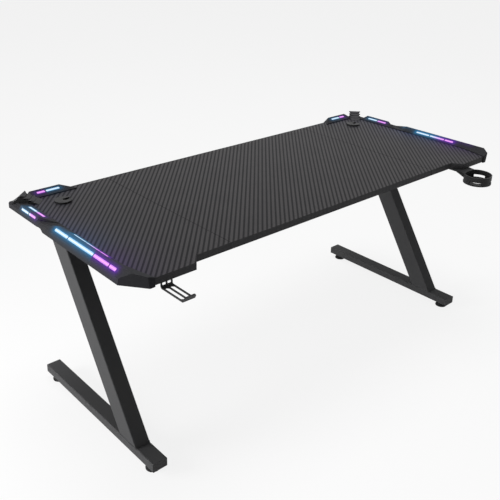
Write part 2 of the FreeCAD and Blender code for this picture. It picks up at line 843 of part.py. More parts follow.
def grommet_cap(x):
    skirt = grommet_bore_radius - grommet_play - grommet_wall - grommet_cap_play
    low = grommet_flange_height
    foot = up * (low - grommet_cap_skirt)
    cap = flat_sided(grommet_cap_radius, grommet_cap_radius, grommet_flat_count,
                     low, low + grommet_cap_height)
    ring = Part.makeCylinder(skirt, grommet_cap_skirt, foot)
    cap = cap.fuse(ring.cut(Part.makeCylinder(skirt - grommet_cap_wall, grommet_cap_skirt, foot)))
    height = grommet_cap_skirt + grommet_cap_height + 2 * overrun
    bottom = low - grommet_cap_skirt - overrun
    slot_half = grommet_slot_width / 2
    slot_end = Part.makeCylinder(slot_half, height, Vector(grommet_slot_reach, 0, bottom))
    mouth = Part.makeBox(grommet_cap_radius, grommet_slot_width, height,
                         Vector(grommet_slot_reach, -slot_half, bottom))
    return placed(cap.cut([slot_end, mouth]), at(x, grommet_depth, worktop_height))


# Headphone hook, bent from one strip and slotted

def bent_line(points, radii):
    edges = []
    start = points[0]
    for number, radius in enumerate(radii):
        corner = points[number + 1]
        back = points[number] - corner
        ahead = points[number + 2] - corner
        half_angle = back.getAngle(ahead) / 2
        run = radius / math.tan(half_angle)
        first = corner + back * (run / back.Length)
        last = corner + ahead * (run / ahead.Length)
        bisector = back / back.Length + ahead / ahead.Length
        centre = corner + bisector * (radius / math.sin(half_angle) / bisector.Length)
        middle = centre + (corner - centre) * (radius / (corner - centre).Length)
        edges.append(Part.makeLine(start, first))
        edges.append(Part.Arc(first, middle, last).toShape())
        start = last
    edges.append(Part.makeLine(start, points[-1]))
    return edges


def under_side(first, second):
    direction = (second - first) / (second - first).Length
    return Vector(1, 0, 0).cross(direction)


def offset_line(points, distance):
    sides = [under_side(first, second) for first, second in zip(points, points[1:])]
    moved = [points[0] + sides[0] * distance]
    for corner, before, after in zip(points[1:], sides, sides[1:]):
        moved.append(corner + (before + after) * (distance / (1 + before.dot(after))))
    moved.append(points[-1] + sides[-1] * distance)
    return moved


def headphone_hook():
    centre_x = hook_inset - board_half_length
    x = centre_x - hook_width / 2
    drop_depth = tab_depth - hook_setback
    end_depth = drop_depth + hook_reach
    arm_height = board_underside - hook_drop
    lip_top = arm_height + hook_lip_rise
    points = [
        at(x, drop_depth - hook_flange, board_underside),
        at(x, drop_depth, board_underside),
        at(x, drop_depth, arm_height),
        at(x, end_depth, arm_height),
        at(x, end_depth + hook_lip_reach, lip_top),
    ]
    wide_bend = hook_bend + hook_thickness
    face_line = bent_line(points, [wide_bend, hook_bend, hook_bend])
    under_points = offset_line(points, hook_thickness)
    under_line = bent_line(under_points, [hook_bend, wide_bend, wide_bend])
    ends = [Part.makeLine(points[0], under_points[0]), Part.makeLine(points[-1], under_points[-1])]
    section = Part.Face(Part.Wire(Part.__sortEdges__(face_line + under_line + ends)))
    hook = section.extrude(Vector(hook_width, 0, 0))
    lip_edges = []
    for edge in hook.Edges:
        middle = edge.CenterOfMass
        at_lip_end = middle.z > lip_top - hook_thickness and middle.y < rear_edge - end_depth
        if at_lip_end and abs(edge.Length - hook_thickness) < touch:
            lip_edges.append(edge)
    hook = hook.makeFillet(hook_lip_corner, lip_edges)
    slot_width = (hook_width - 3 * hook_bar) / 2
    slot = cut_corner_bar(slot_width, drop_depth + hook_slot_margin, end_depth - hook_slot_margin,
                          hook_slot_corner, hook_thickness + 2 * overrun)
    window_height = hook_drop - hook_window_low - hook_window_high
    for side in (-1, 1):
        slot_x = centre_x + side * (slot_width + hook_bar) / 2
        hook = hook.cut(placed(slot, Vector(slot_x, rear_edge, arm_height - hook_thickness - overrun)))
        corner = at(slot_x - slot_width / 2, drop_depth + overrun, arm_height + hook_window_low)
        hook = hook.cut(Part.makeBox(slot_width, hook_thickness + 2 * overrun, window_height, corner))
    return hook


# Cup holder

def cup_ring():
    ring = revolved([
        (cup_floor_hole_radius, -cup_height),
        (cup_radius, -cup_height),
        (cup_radius, 0),
        (cup_radius - cup_wall, 0),
        (cup_radius - cup_wall, cup_floor - cup_height),
        (cup_floor_hole_radius, cup_floor - cup_height),
    ])
    low = cup_window_rise - cup_height
    points = [
        Vector(cup_floor_hole_radius, 0, low),
        Vector(cup_radius + overrun, 0, low),
        Vector(cup_radius + overrun, 0, low + cup_window_height),
        Vector(cup_floor_hole_radius, 0, low + cup_window_height),
    ]
    window = Part.Face(Part.makePolygon(points + [points[0]])).revolve(origin, up, cup_window_sweep)
    for number in range(cup_window_count):
        turned = window.copy()
        turned.rotate(origin, up, cup_window_turn + number * 360 / cup_window_count)
        ring = ring.cut(turned)
    return placed(ring, at(cup_half, cup_depth, cup_rim_top))


def cup_arm():
    x = cup_half - cup_arm_width / 2
    rear_depth = tab_depth - cup_arm_setback
    bend_depth = tab_depth - cup_arm_bend_setback
    join_depth = cup_depth - math.sqrt(cup_radius ** 2 - cup_arm_width ** 2 / 4)
    low = board_underside - cup_arm_thickness
    points = [
        at(x, rear_depth, board_underside),
        at(x, bend_depth, board_underside),
        at(x, join_depth, cup_rim_top),
        at(x, join_depth, cup_rim_top - cup_arm_join_height),
        at(x, bend_depth - cup_arm_thickness, low),
        at(x, rear_depth, low),
    ]
    arm = outline_solid(points, Vector(cup_arm_width, 0, 0))
    rear_corners = []
    for edge in arm.Edges:
        at_rear = edge.CenterOfMass.y > rear_edge - rear_depth - touch
        if at_rear and abs(edge.Length - cup_arm_thickness) < touch:
            rear_corners.append(edge)
    return arm.makeChamfer(cup_arm_corner, rear_corners)


def cup_holder():
    hollow = Part.makeCylinder(cup_radius - cup_wall, cup_height - cup_floor)
    hollow = placed(hollow, at(cup_half, cup_depth, cup_rim_top - cup_height + cup_floor))
    return cup_ring().fuse(cup_arm().cut(hollow)).removeSplitter()


# Power inlet: a small socket block with two ears

def power_inlet():
    x = inlet_inset - board_half_length
    block = cut_corner_bar(inlet_width, inlet_depth, inlet_depth + inlet_length, inlet_corner, inlet_height)
    ears = cut_corner_bar(inlet_width + 2 * inlet_ear, inlet_depth, inlet_depth + inlet_length, inlet_corner,
                          inlet_ear_thickness)
    block.translate(Vector(x, rear_edge, board_underside - inlet_height))
    ears.translate(Vector(x, rear_edge, board_underside - inlet_ear_thickness))
    mouth = at(x, inlet_depth, board_underside - inlet_height / 2)
    bore = Part.makeCylinder(inlet_bore_radius, inlet_bore_length, mouth, Vector(0, -1, 0))
    return block.fuse(ears).cut(bore)


# Build every piece. Handed pieces are made for the left end and mirrored for the right.

left_blank = left_panel_blank()
trim_front = front_trim(left_blank)
trim_rear = rear_trim(left_blank)
block_left = corner_block()
lenses_front = front_diffusers()
lenses_rear = rear_diffusers()
strip_front = front_strip()
strip_rear = rear_strips()
top_bar = left_top_bar()
diagonal = left_diagonal()
foot_bar = left_foot_bar()
top_bar_centre = top_bar_bottom + top_bar_height / 2
foot_bar_centre = foot_bar_clearance + foot_bar_height / 2

pieces = {
    "worktop_left": finished_panel(left_blank),
    "worktop_centre": finished_panel(centre_panel_blank()),
    "worktop_right": finished_panel(mirrored(left_blank)),
    "seam_tongues": seam_tongues(),
    "splice_plates": splice_plates(),
    "leg_left_top_bar": top_bar,
    "leg_left_diagonal": diagonal,
    "leg_left_foot_bar": foot_bar,
    "leg_right_top_bar": mirrored(top_bar),
    "leg_right_diagonal": mirrored(diagonal),
    "leg_right_foot_bar": mirrored(foot_bar),
    "top_bar_caps": end_caps(top_bar_height, top_bar_centre, top_bar_rear_depth, top_bar_front_depth),
    "foot_bar_caps": end_caps(foot_bar_height, foot_bar_centre, foot_bar_rear_depth, foot_bar_front_depth),
    "cross_beam_rear": cross_beam(beam_depths["rear"]),
    "cross_beam_front": cross_beam(beam_depths["front"]),
    "foot_front_left": levelling_foot(-leg_centre_half, foot_depths["front"]),
    "foot_rear_left": levelling_foot(-leg_centre_half, foot_depths["rear"]),
    "foot_front_right": levelling_foot(leg_centre_half, foot_depths["front"]),
    "foot_rear_right": levelling_foot(leg_centre_half, foot_depths["rear"]),
    "trim_front_left": trim_front,
    "trim_front_right": mirrored(trim_front),
    "trim_rear_left": trim_rear,
    "trim_rear_right": mirrored(trim_rear),
    "corner_block_left": block_left,
    "corner_block_right": mirrored(block_left),
    "lenses_front_left": lenses_front,
    "lenses_front_right": mirrored(lenses_front),
    "lenses_rear_left": lenses_rear,
    "lenses_rear_right": mirrored(lenses_rear),
    "light_strip_front_left": strip_front,
    "light_strip_front_right": mirrored(strip_front),
    "light_strip_rear_left": strip_rear,
    "light_strip_rear_right": mirrored(strip_rear),
    "grommet_sleeve_left": grommet_sleeve(-grommet_half),
    "grommet_sleeve_right": grommet_sleeve(grommet_half),
    "grommet_cap_left": grommet_cap(-grommet_half),
    "grommet_cap_right": grommet_cap(grommet_half),
    "headphone_hook": headphone_hook(),
    "cup_holder": cup_holder(),
    "power_inlet": power_inlet(),
}

for name, shape in pieces.items():
    shape.exportStep("parts/" + name + ".step")
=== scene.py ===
import bmesh
import bpy
import math
from mathutils import Matrix, Vector


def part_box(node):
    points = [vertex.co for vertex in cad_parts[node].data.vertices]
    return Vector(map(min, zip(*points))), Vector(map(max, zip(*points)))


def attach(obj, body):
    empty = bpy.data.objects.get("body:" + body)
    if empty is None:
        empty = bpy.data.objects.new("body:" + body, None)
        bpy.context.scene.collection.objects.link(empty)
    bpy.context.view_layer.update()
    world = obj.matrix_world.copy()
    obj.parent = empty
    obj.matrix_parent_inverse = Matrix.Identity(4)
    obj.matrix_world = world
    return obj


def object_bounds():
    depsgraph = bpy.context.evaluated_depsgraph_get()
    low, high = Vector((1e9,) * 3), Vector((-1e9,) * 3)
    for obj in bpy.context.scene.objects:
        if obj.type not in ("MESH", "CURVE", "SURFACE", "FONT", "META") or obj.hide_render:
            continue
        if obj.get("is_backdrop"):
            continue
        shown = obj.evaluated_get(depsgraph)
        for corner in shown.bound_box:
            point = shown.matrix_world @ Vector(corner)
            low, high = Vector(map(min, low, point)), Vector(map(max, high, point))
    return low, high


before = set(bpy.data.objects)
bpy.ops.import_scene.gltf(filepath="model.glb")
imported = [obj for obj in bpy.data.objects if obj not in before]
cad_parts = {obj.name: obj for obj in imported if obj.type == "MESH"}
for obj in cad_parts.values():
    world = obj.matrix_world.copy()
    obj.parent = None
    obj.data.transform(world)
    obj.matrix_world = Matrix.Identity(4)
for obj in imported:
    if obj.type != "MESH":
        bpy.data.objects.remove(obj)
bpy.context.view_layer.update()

# Worktop: three particle-board panels faced with a dark laminate that imitates woven fibre.
# The bands run from the front left to the rear right and show faintly on the edges too;
# the underside has a plain backing sheet, and the panels meet in two narrow V-shaped seams.
band_width = 0.0151
band_direction = (1, -0.92, 0)
band_share = 0.74
thread_width = 0.0021
warp_direction = (1, 0.25, 0)
weft_direction = (0.25, 1, 0)
thread_share = 0.26
edge_share = 0.35
seam_place = 0.530
seam_half_width = 0.0011
top_faces = (0.6, 0.95)
under_faces = (-0.6, -0.9)
laminate_dark = (0.005, 0.005, 0.006, 1)
laminate_pale = (0.058, 0.055, 0.057, 1)
laminate_edge = (0.050, 0.050, 0.052, 1)
backing_colour = (0.030, 0.027, 0.025, 1)
seam_colour = (0.006, 0.006, 0.006, 1)


def node(tree, kind, feeds=None, **settings):
    made = tree.nodes.new(kind)
    for name, value in settings.items():
        setattr(made, name, value)
    for socket, value in (feeds or {}).items():
        if isinstance(value, bpy.types.NodeSocket):
            tree.links.new(value, made.inputs[socket])
        else:
            made.inputs[socket].default_value = value
    return made


def maths(tree, operation, first, second=0.0, third=0.0):
    return node(tree, "ShaderNodeMath", {0: first, 1: second, 2: third}, operation=operation).outputs[0]


def vectors(tree, operation, first, second):
    return node(tree, "ShaderNodeVectorMath", {0: first, 1: second}, operation=operation).outputs


def scaled(tree, vector, amount):
    return node(tree, "ShaderNodeVectorMath", {0: vector, "Scale": amount}, operation="SCALE").outputs[0]


def blended(tree, share, first, second):
    # The mix node keeps a set of sockets for each kind of data: 6, 7 and output 2 are its colours.
    mix = node(tree, "ShaderNodeMix", {0: share, 6: first, 7: second}, data_type="RGBA")
    return mix.outputs[2]


def stepped(tree, value, rise=(0.0, 1.0), amounts=(0.0, 1.0)):
    feeds = {
        "Value": value,
        "From Min": rise[0],
        "From Max": rise[1],
        "To Min": amounts[0],
        "To Max": amounts[1],
    }
    return node(tree, "ShaderNodeMapRange", feeds, interpolation_type="SMOOTHSTEP").outputs[0]


def object_place(tree):
    return node(tree, "ShaderNodeTexCoord").outputs["Object"]


def axes_of(tree, vector):
    return node(tree, "ShaderNodeSeparateXYZ", {0: vector}).outputs


def upward(tree):
    return axes_of(tree, node(tree, "ShaderNodeNewGeometry").outputs["Normal"])["Z"]


def noise(tree, place, scale, detail=3.0, roughness=0.55):
    feeds = {"Vector": place, "Scale": scale, "Detail": detail, "Roughness": roughness}
    return node(tree, "ShaderNodeTexNoise", feeds).outputs["Fac"]


def wave_along(tree, place, direction, length):
    turn = Vector(direction).normalized() * (2 * math.pi / length)
    return maths(tree, "SINE", vectors(tree, "DOT_PRODUCT", place, turn)["Value"])


def bumped(tree, relief, strength, height, edge_radius=0.0):
    feeds = {"Height": relief, "Strength": strength, "Distance": height}
    if edge_radius:
        rounded = node(tree, "ShaderNodeBevel", {"Radius": edge_radius}, samples=4)
        feeds["Normal"] = rounded.outputs["Normal"]
    return node(tree, "ShaderNodeBump", feeds).outputs["Normal"]


def new_finish(name, specular=0.12):
    finish = bpy.data.materials.new(name)
    finish.use_nodes = True
    shader = finish.node_tree.nodes["Principled BSDF"]
    shader.inputs["Specular IOR Level"].default_value = specular
    return finish, finish.node_tree, shader


def wire_up(tree, shader, **sockets):
    for socket, value in sockets.items():
        tree.links.new(value, shader.inputs[socket.replace("_", " ")])


def wear(finish, *names):
    for name in names:
        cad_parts[name].data.materials.clear()
        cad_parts[name].data.materials.append(finish)


laminate, tree, shader = new_finish("woven_look_laminate", specular=0.055)
place = object_place(tree)
facing = upward(tree)
band = stepped(tree, wave_along(tree, place, band_direction, band_width), rise=(-0.9, 0.5))
warp = wave_along(tree, place, warp_direction, thread_width)
weft = wave_along(tree, place, weft_direction, thread_width)
thread = maths(tree, "MULTIPLY_ADD", maths(tree, "MULTIPLY", warp, weft), 0.5, 0.5)
pattern = maths(tree, "MULTIPLY_ADD", thread, thread_share, maths(tree, "MULTIPLY", band, band_share))
clouds = stepped(tree, noise(tree, place, scale=9.0), rise=(0.2, 0.8), amounts=(0.84, 1.0))
pattern = maths(tree, "MULTIPLY", pattern, clouds)
face = blended(tree, pattern, laminate_dark, laminate_pale)
edge = blended(tree, maths(tree, "MULTIPLY", pattern, edge_share), laminate_edge, laminate_pale)
colour = blended(tree, stepped(tree, facing, rise=top_faces), edge, face)
colour = blended(tree, stepped(tree, facing, rise=under_faces), colour, backing_colour)
off_middle = maths(tree, "ABSOLUTE", axes_of(tree, place)["X"])
seam_distance = maths(tree, "ABSOLUTE", maths(tree, "SUBTRACT", off_middle, seam_place))
in_seam = stepped(tree, seam_distance, rise=(seam_half_width, seam_half_width / 2))
wire_up(tree, shader, Base_Color=blended(tree, in_seam, colour, seam_colour),
        Roughness=stepped(tree, band, amounts=(0.54, 0.42)),
        Normal=bumped(tree, thread, strength=0.25, height=0.0002))
wear(laminate, "worktop_left", "worktop_centre", "worktop_right")

# Loose tongues of plywood, glued in grooves in the panel seams to keep the faces level.
# They are hidden in the assembled top.
ply_pitch = 0.0024
grain_stretch = (60, 3, 60)
plywood_dark = (0.42, 0.27, 0.14, 1)
plywood_pale = (0.62, 0.45, 0.27, 1)
plywood, tree, shader = new_finish("plywood")
place = object_place(tree)
ply = stepped(tree, wave_along(tree, place, (0, 0, 1), ply_pitch), rise=(-0.3, 0.3))
drawn_out = node(tree, "ShaderNodeMapping", {"Vector": place, "Scale": grain_stretch}).outputs["Vector"]
grain = noise(tree, drawn_out, scale=4.0)
wire_up(tree, shader,
        Base_Color=blended(tree, maths(tree, "MULTIPLY", ply, grain), plywood_dark, plywood_pale),
        Roughness=stepped(tree, grain, rise=(0.2, 0.8), amounts=(0.55, 0.75)))
wear(plywood, "seam_tongues")

# Flat tie plates of zinc-plated steel across the underside of each seam.
# Each is held up by four button-head screws with a hexagon socket.
# A screw's head is turned to a profile, given as shares of its radius and height.
plate_screw_along = 0.038
plate_screw_across = 0.022
screw_radius = 0.0043
screw_height = 0.0024
screw_profile = ((1.0, 0.0), (0.97, 0.35), (0.80, 0.78), (0.55, 1.0))
socket_radius = 0.0017
socket_depth = 0.0014
round_sides = 12
zinc_dark = (0.50, 0.51, 0.53, 1)
zinc_pale = (0.64, 0.65, 0.66, 1)
zinc, tree, shader = new_finish("zinc_plating")
place = object_place(tree)
grains = node(tree, "ShaderNodeTexVoronoi", {"Vector": place, "Scale": 420.0}).outputs["Color"]
scuffs = noise(tree, place, scale=160.0, detail=5.0)
wire_up(tree, shader, Base_Color=blended(tree, axes_of(tree, grains)["X"], zinc_dark, zinc_pale),
        Roughness=stepped(tree, scuffs, rise=(0.25, 0.75), amounts=(0.26, 0.48)))
shader.inputs["Metallic"].default_value = 1.0
wear(zinc, "splice_plates")


def circle(radius):
    return [radius] * round_sides


def hexagon(half_width):
    return [half_width / math.cos(math.pi / 6), half_width] * (round_sides // 2)


def ring(shape, radii, height):
    points = []
    for number, radius in enumerate(radii):
        angle = 2 * math.pi * number / len(radii)
        points.append(shape.verts.new((radius * math.cos(angle), radius * math.sin(angle), height)))
    return points


def turned_head(shape, rings, position, axis):
    before = set(shape.verts)
    rounds = [ring(shape, radii, height) for radii, height in rings]
    for lower, upper in zip(rounds, rounds[1:]):
        for number in range(len(lower)):
            after = (number + 1) % len(lower)
            shape.faces.new((lower[number], lower[after], upper[after], upper[number]))
    shape.faces.new(rounds[0])
    shape.faces.new(rounds[-1])
    turn = Vector((0, 0, 1)).rotation_difference(Vector(axis)).to_matrix().to_4x4()
    made = [vertex for vertex in shape.verts if vertex not in before]
    bmesh.ops.transform(shape, matrix=Matrix.Translation(position) @ turn, verts=made)


def add_piece(name, shape, body, finish):
    bmesh.ops.recalc_face_normals(shape, faces=shape.faces)
    mesh = bpy.data.meshes.new(name)
    shape.to_mesh(mesh)
    shape.free()
    mesh.materials.append(finish)
    made = bpy.data.objects.new(name, mesh)
    bpy.context.scene.collection.objects.link(made)
    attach(made, body)


def screws_up(name, places):
    head = [(circle(screw_radius * wide), screw_height * high) for wide, high in screw_profile]
    head.append((hexagon(socket_radius), screw_height))
    head.append((hexagon(socket_radius), screw_height - socket_depth))
    shape = bmesh.new()
    for position in places:
        turned_head(shape, head, position, axis=(0, 0, -1))
    add_piece(name, shape, "desk", zinc)


plate_low, plate_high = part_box("splice_plates")
plate_middle = (plate_low.y + plate_high.y) / 2
plate_screws = []
for side in (-1, 1):
    for along in (-plate_screw_along, plate_screw_along):
        for across in (-plate_screw_across, plate_screw_across):
            plate_screws.append(Vector((side * seam_place + along, plate_middle + across, plate_low.z)))
screws_up("splice_screws", plate_screws)

# Legs: rectangular steel tube welded to a Z, with a powder coat in matte black.
# The coat is slightly pebbled; button-head screws through the top bars hold the worktop.
screw_shares = (0.07, 0.52, 0.93)
coat_dark = (0.055, 0.055, 0.057, 1)
coat_pale = (0.068, 0.068, 0.069, 1)
coat, tree, shader = new_finish("black_powder_coat", specular=0.06)
place = object_place(tree)
pebble = noise(tree, place, scale=900.0, detail=2.0)
drift = noise(tree, place, scale=7.0, detail=4.0)
wire_up(tree, shader, Base_Color=blended(tree, drift, coat_dark, coat_pale),
        Roughness=stepped(tree, drift, rise=(0.3, 0.7), amounts=(0.48, 0.58)),
        Normal=bumped(tree, pebble, strength=0.12, height=0.0003, edge_radius=0.0014))
bar_screws = []
for side in ("left", "right"):
    wear(coat, f"leg_{side}_top_bar", f"leg_{side}_diagonal", f"leg_{side}_foot_bar")
    bar_low, bar_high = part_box(f"leg_{side}_top_bar")
    for share in screw_shares:
        along = bar_high.y + (bar_low.y - bar_high.y) * share
        bar_screws.append(Vector(((bar_low.x + bar_high.x) / 2, along, bar_low.z)))
screws_up("worktop_screws", bar_screws)

# Weld beads where each sloping post meets the bars above and below it.
# They were laid before coating, so they carry the same coat as the tubes.
bead_radius = 0.0017
bead_sides = 8
bead_corner = 0.004
corner_turns = (0, 30, 60, 90)
rim_slack = 0.0005


def swept_wire(shape, points, radius, sides, closed):
    rounds = []
    last = len(points) - 1
    for number, point in enumerate(points):
        before = points[number - 1] if number or closed else point
        after = points[(number + 1) % len(points)] if number < last or closed else point
        ahead = (after - before).normalized()
        aside = ahead.cross(Vector((0, 0, 1))).normalized()
        lift = aside.cross(ahead)
        corners = []
        for corner in range(sides):
            angle = 2 * math.pi * corner / sides
            outward = math.cos(angle) * aside + math.sin(angle) * lift
            corners.append(shape.verts.new(point + radius * outward))
        rounds.append(corners)
    pairs = list(zip(rounds, rounds[1:]))
    if closed:
        pairs.append((rounds[-1], rounds[0]))
    else:
        shape.faces.new(rounds[0])
        shape.faces.new(rounds[-1])
    for first, second in pairs:
        for corner in range(sides):
            beside = (corner + 1) % sides
            shape.faces.new((first[corner], first[beside], second[beside], second[corner]))


beads = bmesh.new()
for side in ("left", "right"):
    post = [vertex.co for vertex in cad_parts[f"leg_{side}_diagonal"].data.vertices]
    for level in (max(point.z for point in post), min(point.z for point in post)):
        rim = [point for point in post if abs(point.z - level) < rim_slack]
        low_x, high_x = min(point.x for point in rim), max(point.x for point in rim)
        low_y, high_y = min(point.y for point in rim), max(point.y for point in rim)
        bead = []
        for corner_x, corner_y, start in ((high_x, high_y, 0), (low_x, high_y, 90),
                                          (low_x, low_y, 180), (high_x, low_y, 270)):
            centre_x = corner_x + (bead_corner if corner_x == low_x else -bead_corner)
            centre_y = corner_y + (bead_corner if corner_y == low_y else -bead_corner)
            for turn in corner_turns:
                angle = math.radians(start + turn)
                bead.append(Vector((centre_x + bead_corner * math.cos(angle),
                                    centre_y + bead_corner * math.sin(angle), level)))
        swept_wire(beads, bead, bead_radius, bead_sides, closed=True)
add_piece("weld_beads", beads, "desk", coat)

# Tube caps: black polypropylene plugs pushed into the open ends of the leg bars.
# Their faces have a fine leather-like grain.
cap_dark = (0.045, 0.045, 0.046, 1)
cap_pale = (0.062, 0.062, 0.063, 1)
cap_plastic, tree, shader = new_finish("cap_plastic")
place = object_place(tree)
leather = noise(tree, place, scale=1400.0)
wire_up(tree, shader, Base_Color=blended(tree, noise(tree, place, scale=30.0), cap_dark, cap_pale),
        Roughness=stepped(tree, leather, rise=(0.2, 0.8), amounts=(0.5, 0.66)),
        Normal=bumped(tree, leather, strength=0.2, height=0.0002, edge_radius=0.0008))
wear(cap_plastic, "top_bar_caps", "foot_bar_caps")

# Cross beams of coated steel tube with welded end plates, one near the rear and one near the front.
# Each plate is held to the leg by two zinc-plated hexagon bolts with washers.
bolt_flats = 0.013
bolt_height = 0.0053
bolt_shoulder = 0.86
bolt_crown = 0.46
bolt_spread = 0.037
bolt_drop = 0.0125
washer_radius = 0.008
washer_thickness = 0.0016
plate_thickness = 0.003
wear(coat, "cross_beam_rear", "cross_beam_front")
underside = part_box("worktop_centre")[0].z
bolt = [
    (circle(washer_radius), 0),
    (circle(washer_radius), washer_thickness),
    (hexagon(bolt_flats / 2), washer_thickness),
    (hexagon(bolt_flats / 2), washer_thickness + bolt_height * bolt_shoulder),
    (circle(bolt_flats * bolt_crown), washer_thickness + bolt_height),
]
bolts = bmesh.new()
for beam in ("cross_beam_rear", "cross_beam_front"):
    low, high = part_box(beam)
    beam_middle = (low.y + high.y) / 2
    for side in (-1, 1):
        seat = side * (high.x - plate_thickness)
        for across in (-bolt_spread, bolt_spread):
            position = Vector((seat, beam_middle + across, underside - bolt_drop))
            turned_head(bolts, bolt, position, axis=(-side, 0, 0))
add_piece("beam_bolts", bolts, "desk", zinc)

# Levelling feet: a black rubber pad with finger flats and a hexagon collar, on a zinc-plated stud.
# The stud's thread runs in the foot bar; turning the pad raises or lowers the desk.
stud_foot = 0.020
stud_radius = 0.0040
thread_pitch = 0.00125
thread_ridge = 0.0003
ridge_sides = 4
turn_steps = 12
rubber_dark = (0.011, 0.011, 0.012, 1)
rubber_dusty = (0.026, 0.026, 0.026, 1)
stud_colour = (0.55, 0.56, 0.57, 1)
rubber, tree, shader = new_finish("foot_rubber")
place = object_place(tree)
dust = noise(tree, place, scale=240.0, detail=4.0)
pad = blended(tree, dust, rubber_dark, rubber_dusty)
on_stud = stepped(tree, axes_of(tree, place)["Z"], rise=(stud_foot - 0.0001, stud_foot + 0.0002))
wire_up(tree, shader, Base_Color=blended(tree, on_stud, pad, stud_colour), Metallic=on_stud,
        Roughness=stepped(tree, on_stud, amounts=(0.78, 0.35)),
        Normal=bumped(tree, dust, strength=0.3, height=0.0003))
for end in ("front", "rear"):
    for side in ("left", "right"):
        wear(rubber, f"foot_{end}_{side}")
        low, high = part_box(f"foot_{end}_{side}")
        turns = int((high.z - stud_foot) / thread_pitch - 1)
        helix = []
        for step in range(turns * turn_steps + 1):
            angle = math.radians(360 / turn_steps * step)
            helix.append(Vector(((low.x + high.x) / 2 + stud_radius * math.cos(angle),
                                 (low.y + high.y) / 2 + stud_radius * math.sin(angle),
                                 stud_foot + thread_pitch * (0.5 + step / turn_steps))))
        ridge = bmesh.new()
        swept_wire(ridge, helix, thread_ridge, ridge_sides, closed=False)
        add_piece(f"stud_thread_{end}_{side}", ridge, f"{end}_{side}_foot", zinc)

# Edge trims: dark grey moulded ABS shells with a fine spark-eroded grain, screwed up into the board.
# A painted glow lies round each row of light bars on the trim, blue at one end of the row and violet at
# the other.
# Each row: ends of its middle line on the right-hand side, where the colour turns, how gradually.
light_rows = (
    ((0.9105, 0.120, 0.7583), (0.9105, -0.235, 0.7583), 0.655, 0.012),
    ((0.8855, 0.043, 0.7615), (0.8855, -0.153, 0.7615), 0.56, 0.20),
    ((0.9150, 0.345, 0.7545), (0.9150, 0.247, 0.7545), 0.62, 0.08),
    ((0.8920, 0.335, 0.7590), (0.8920, 0.229, 0.7590), 0.55, 0.08),
    ((0.7300, 0.4308, 0.7609), (0.8170, 0.4308, 0.7609), 0.62, 0.03),
)
front_rows = 2
painted_glow_blue = (0.002, 0.150, 0.330, 1)
painted_glow_violet = (0.080, 0.002, 0.300, 1)
trim_dark = (0.026, 0.026, 0.029, 1)
trim_pale = (0.034, 0.034, 0.037, 1)
trim_screw_aside = 0.887
trim_screw_first = 0.090
trim_screw_pitch = 0.095
trim_screw_count = 4


def rows_light(tree, place, half_width, reach, first, last, rear_share=1.0):
    x, y, z = axes_of(tree, place)
    folded = node(tree, "ShaderNodeCombineXYZ", {0: maths(tree, "ABSOLUTE", x), 1: y, 2: z}).outputs[0]
    total = None
    for number, (start, end, turn, softness) in enumerate(light_rows):
        run = Vector(end) - Vector(start)
        from_start = vectors(tree, "SUBTRACT", folded, start)[0]
        passed = vectors(tree, "DOT_PRODUCT", from_start, run / run.length_squared)["Value"]
        along = node(tree, "ShaderNodeClamp", {0: passed}).outputs[0]
        distance = vectors(tree, "DISTANCE", from_start, scaled(tree, run, along))["Value"]
        off_rim = maths(tree, "ABSOLUTE", maths(tree, "SUBTRACT", distance, half_width))
        glow = maths(tree, "EXPONENT", maths(tree, "MULTIPLY", off_rim, -1.0 / reach))
        glow = maths(tree, "MULTIPLY", glow, 1.0 if number < front_rows else rear_share)
        turned = stepped(tree, along, rise=(turn - softness, turn + softness))
        light = scaled(tree, blended(tree, turned, first, last), glow)
        total = light if total is None else vectors(tree, "ADD", total, light)[0]
    return total


trim_plastic, tree, shader = new_finish("trim_plastic", specular=0.022)
place = object_place(tree)
grain = noise(tree, place, scale=1600.0, detail=2.0)
drift = noise(tree, place, scale=12.0)
# Painted glow: emission on the trim round the light bars stands in for their light falling on it.
painted_glow = rows_light(tree, place, half_width=0.0055, reach=0.0070, first=painted_glow_blue, last=painted_glow_violet,
                  rear_share=0.4)
wire_up(tree, shader, Base_Color=blended(tree, drift, trim_dark, trim_pale),
        Roughness=stepped(tree, drift, rise=(0.3, 0.7), amounts=(0.46, 0.56)),
        Normal=bumped(tree, grain, strength=0.10, height=0.0002, edge_radius=0.0010),
        Emission_Color=painted_glow)
shader.inputs["Emission Strength"].default_value = 1.0
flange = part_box("trim_front_left")[0].z
trim_screws = []
for side, word in ((-1, "left"), (1, "right")):
    wear(trim_plastic, f"trim_front_{word}", f"trim_rear_{word}")
    for number in range(trim_screw_count):
        along = trim_screw_first - trim_screw_pitch * number
        trim_screws.append(Vector((side * trim_screw_aside, along, flange)))
screws_up("trim_screws", trim_screws)

# Corner blocks: slats and wedge moulded in one piece of the same plastic, satin on top.
# The flanks of the wedge under the slats are rougher and painted dark as shade, and the faces turned up
# are painted lighter as lit.
painted_shade_flank_colour = (0.016, 0.016, 0.017, 1)
painted_lit_slat_colour = (0.060, 0.060, 0.063, 1)
slat_plastic, tree, shader = new_finish("slat_plastic", specular=0.06)
place = object_place(tree)
grain = noise(tree, place, scale=1600.0, detail=2.0)
on_top = stepped(tree, upward(tree), rise=(0.3, 0.7))
# Painted shade and light: the colour steps from the dark flank colour to the lighter slat colour as
# faces turn upward.
wire_up(tree, shader, Base_Color=blended(tree, on_top, painted_shade_flank_colour, painted_lit_slat_colour),
        Roughness=stepped(tree, on_top, amounts=(0.7, 0.46)),
        Normal=bumped(tree, grain, strength=0.08, height=0.0002, edge_radius=0.0008))
wear(slat_plastic, "corner_block_left", "corner_block_right")
